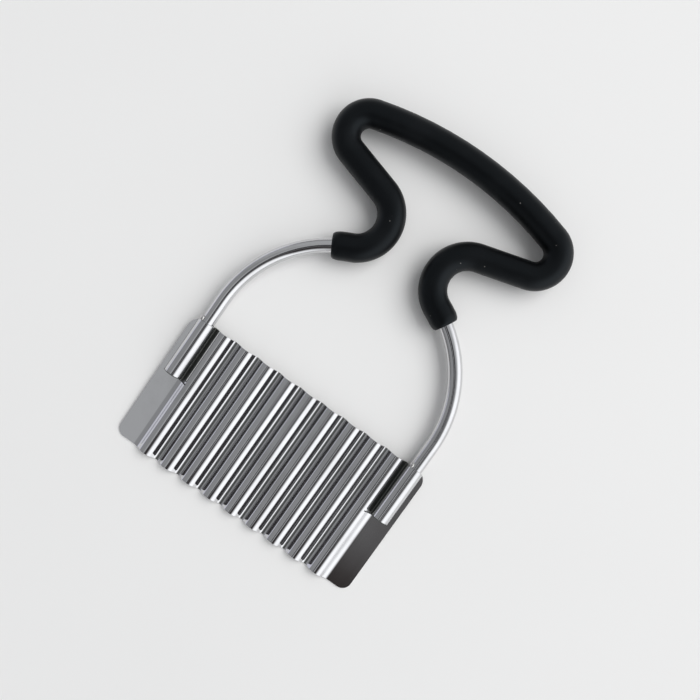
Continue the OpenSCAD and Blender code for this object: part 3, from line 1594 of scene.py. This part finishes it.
@dataclass(frozen=True)
class Surroundings:
    """Soft light from all round, whose patches give the steel its bright and dark bands.

    An edge is a pair of lengths of the aim, between which a patch fades.

    Attributes:
        wall: Light of the wall, where nothing else lies.
        ceiling: Light from overhead and from beyond the grip.
        ceiling_left: Left edge of the ceiling.
        ceiling_ahead: Edge beyond which the ceiling covers everything ahead.
        shade: Light of the dark patches.
        foot_shade: Share of the shade at the foot of the wall.
        foot_top: Upper edge of that shade.
        foot_right: Right edge of that shade.
        sill: Light of a pale strip low on the left.
        sill_top: Upper edge of the sill.
        sill_right: Right edge of the sill.
        dim_shade: Share of the shade overhead on the right.
        dim_left: Left edge of that shade.
        dim_ahead: Far edge of that shade.
        window: Light from the window on the right.
        window_left: Left edge of the window.
        window_foot: Heights between which the window gains its full light.
        foot_light: Share of the window's light at its foot.
        strip_left: Left edge of the dark strip before the cutting edge.
        strip_right: Right edge of the dark strip.
        strip_near: Edge of the dark strip towards the cutter.
        strip_far: Edge of the dark strip away from the cutter.
        flare_start: Aim ahead from which the dark strip widens.
        flare: Widening of each side of the dark strip for each length beyond that.
        backdrop: What the camera sees beyond the floor.
    """

    wall: Colour = (0.325, 0.33, 0.34)
    ceiling: Colour = (0.47, 0.48, 0.49)
    ceiling_left: Span = (-0.42, -0.2)
    ceiling_ahead: Span = (0.0, 0.35)
    shade: Colour = (0.040, 0.034, 0.033)
    foot_shade: float = 0.45
    foot_top: Span = (0.1, 0.5)
    foot_right: Span = (-0.3, 0.3)
    sill: Colour = (0.72, 0.73, 0.82)
    sill_top: Span = (0.20, 0.32)
    sill_right: Span = (-0.88, -0.74)
    dim_shade: float = 0.8
    dim_left: Span = (0.05, 0.17)
    dim_ahead: Span = (-0.2, 0.15)
    window: Colour = (1.48, 1.50, 1.53)
    window_left: Span = (0.3, 0.72)
    window_foot: Span = (0.0, 0.4)
    foot_light: float = 0.8
    strip_left: Span = (0.0, 0.12)
    strip_right: Span = (0.22, 0.4)
    strip_near: Span = (-0.36, -0.28)
    strip_far: Span = (-0.75, -0.5)
    flare_start: float = -0.3
    flare: float = 0.9
    backdrop: Colour = (0.80, 0.80, 0.80)

    def on_ceiling(self, aim: Aim) -> Signal:
        """Gives the share of the ceiling."""
        return aim.across.rise(self.ceiling_left).at_least(aim.ahead.rise(self.ceiling_ahead))

    def at_foot(self, aim: Aim) -> Signal:
        """Gives the share of the shade at the foot of the wall."""
        return self.foot_shade * aim.height.fall(self.foot_top) * aim.across.fall(self.foot_right)

    def on_sill(self, aim: Aim) -> Signal:
        """Gives the share of the sill."""
        return aim.height.fall(self.sill_top) * aim.across.fall(self.sill_right)

    def in_dim(self, aim: Aim) -> Signal:
        """Gives the share of the shade overhead on the right."""
        return self.dim_shade * aim.across.rise(self.dim_left) * aim.ahead.fall(self.dim_ahead)

    def in_window(self, aim: Aim) -> Signal:
        """Gives the share of the window, which is weaker at its foot."""
        gain = (1.0 - self.foot_light) * aim.height.rise(self.window_foot)
        return aim.across.rise(self.window_left) * (self.foot_light + gain)

    def in_strip(self, aim: Aim) -> Signal:
        """Gives the share of the dark strip, which widens away from the cutter.

        Args:
            aim: The direction.

        Returns:
            The share of the strip's shade.
        """
        widening = self.flare * (self.flare_start - aim.ahead).at_least(0.0)
        left = (aim.across + widening).rise(self.strip_left)
        right = (aim.across - widening).fall(self.strip_right)
        return left * right * aim.ahead.fall(self.strip_near) * aim.ahead.rise(self.strip_far)

    def light(self, graph: Graph, aim: Aim) -> Signal:
        """Lays the patches over the wall, each over those before it.

        Args:
            graph: The world's graph.
            aim: The direction that is looked at.

        Returns:
            The light from there.
        """
        patches = (
            (self.on_ceiling, self.ceiling),
            (self.at_foot, self.shade),
            (self.on_sill, self.sill),
            (self.in_dim, self.shade),
            (self.in_window, self.window),
            (self.in_strip, self.shade),
        )
        light: Any = self.wall
        for share, colour in patches:
            light = graph.blend(share(aim), light, colour)
        return light

    def build(self) -> None:
        """Fills the world with the light, and shows the camera the backdrop instead."""
        world = bpy.data.worlds.new("studio")
        bpy.context.scene.world = world
        world.use_nodes = True
        graph = Graph(world.node_tree)
        direction = graph.node("ShaderNodeTexCoord", {}, {}, "Generated")
        aim = Aim(*(graph.node("ShaderNodeSeparateXYZ", {}, {0: direction}, axis) for axis in "XYZ"))
        seen = graph.node("ShaderNodeLightPath", {}, {}, "Is Camera Ray")
        colour = graph.blend(seen, self.light(graph, aim), self.backdrop)
        shader = graph.node("ShaderNodeBackground", {}, {"Color": colour, "Strength": 1.0})
        graph.node("ShaderNodeOutputWorld", {}, {"Surface": shader})


@dataclass
class Studio:
    """Floor, soft light and camera.

    Attributes:
        view: Directions of the photograph.
        surroundings: Light from all round.
        floor_size: Width of the floor.
        camera_place: Place of the camera.
        camera_turn: Rotation of the camera in degrees.
        lens: Focal length, in millimetres.
        sensor: Width of the camera's sensor, in millimetres.
        card_corners: Two corners in x and y of each dark card, the rod's and the two of the waves.
        card_height: Height of the dark cards.
        lamp_place: Place of the large soft lamp, right, up and above in the picture.
        lamp_power: Power of that lamp, in watts.
        lamp_size: Width and height of that lamp.
    """

    view: PhotoView = field(default_factory=PhotoView)
    surroundings: Surroundings = field(default_factory=Surroundings)
    floor_size: float = 20.0
    camera_place: Sequence[float] = (1.814 * MM, 3.007 * MM, 297.655 * MM)
    camera_turn: Sequence[float] = (-1.406, 0.918, 35.104)
    lens: float = 37.54
    sensor: float = 36.0
    card_corners: Sequence[Sequence[Sequence[float]]] = (
        ((-0.060, -0.06), (0.065, 0.02)),
        ((-0.068, -0.24), (-0.018, -0.06)),
        ((0.032, -0.24), (0.068, -0.06)),
    )
    card_height: float = 0.3
    lamp_place: Sequence[float] = (2.0, 0.7, 2.4)
    lamp_power: float = 68.0
    lamp_size: Sequence[float] = (2.9, 2.3)

    def build_floor(self) -> None:
        """Adds the floor."""
        deselect()
        bpy.ops.mesh.primitive_plane_add(size=self.floor_size, location=(0.0, 0.0, CAD_BOX[0].z))
        floor = bpy.context.active_object
        floor.name = "floor"
        apply_place()
        floor.data.materials.append(PaleFloor("pale_floor").material())

    def build_cards(self) -> None:
        """Adds the dark cards beside the camera, which only reflections show."""
        material = DarkCard("dark_card").material()
        for low, high in self.card_corners:
            deselect()
            bpy.ops.mesh.primitive_plane_add(size=1.0)
            card = bpy.context.active_object
            card.name = "dark_card"
            card.dimensions = (high[0] - low[0], high[1] - low[1], 0.0)
            card.location = ((low[0] + high[0]) / 2, (low[1] + high[1]) / 2, self.card_height)
            apply_place()
            card.data.materials.append(material)
            card.visible_camera = False
            card.visible_diffuse = False
            card.visible_shadow = False

    def build_lamp(self) -> None:
        """Adds the large soft lamp, which the steel doesn't mirror."""
        place = self.view.place(*self.lamp_place)
        deselect()
        bpy.ops.object.light_add(type="AREA", location=place)
        lamp = bpy.context.active_object
        lamp.name = "window_light"
        lamp.rotation_euler = (-place).to_track_quat("-Z", "Y").to_euler()
        lamp.data.shape = "RECTANGLE"
        lamp.data.size, lamp.data.size_y = self.lamp_size
        lamp.data.energy = self.lamp_power
        lamp.visible_glossy = False

    def build_camera(self) -> None:
        """Adds the camera at the photograph's place."""
        deselect()
        turn = [math.radians(angle) for angle in self.camera_turn]
        bpy.ops.object.camera_add(location=self.camera_place, rotation=turn)
        camera = bpy.context.active_object
        camera.name = "photo_camera"
        camera.data.sensor_width = self.sensor
        camera.data.lens = self.lens
        camera.data.clip_start = 1.0 * MM
        bpy.context.scene.camera = camera

    def build(self) -> None:
        """Builds the whole studio."""
        self.build_floor()
        self.build_cards()
        self.build_lamp()
        self.surroundings.build()
        self.build_camera()
        bpy.context.scene.view_settings.view_transform = "Standard"


def main() -> None:
    """Builds and dresses the cutter, then its studio."""
    logging.basicConfig(level=logging.INFO)
    blade_sizes = BladeSizes()
    handle_sizes = HandleSizes(blade_sizes)
    table = Table(handle_sizes)
    blade_steel = PolishedSteel("polished_blade_steel")
    rod_steel = PolishedSteel(
        "drawn_rod_steel", grain=(2600.0, 2600.0, 2600.0), ripple=90.0, ripple_depth=0.006 * MM
    )
    rubber = SoftRubber("soft_black_rubber")
    weld_metal = WeldMetal("weld_bead_steel").material()
    sub_assemblies = [
        Blade("blade", Slot.BLADE, blade_steel.material(), table, blade_sizes),
        HandleRod("handle_rod", Slot.ROD, rod_steel.material(), table, handle_sizes),
        GripSleeve("grip_sleeve", Slot.GRIP, rubber.material(), table, handle_sizes),
    ]
    for side in Side:
        node = f"{side.name.lower()}_tack_weld"
        sub_assemblies.append(TackWeld(node, Slot.WELD, weld_metal, table, handle_sizes, side))
    for sub_assembly in sub_assemblies:
        piece = sub_assembly.build()
        LOG.info("%s: %d faces", piece.name, len(piece.data.polygons))
    Studio().build()


if __name__ == "__main__":
    main()
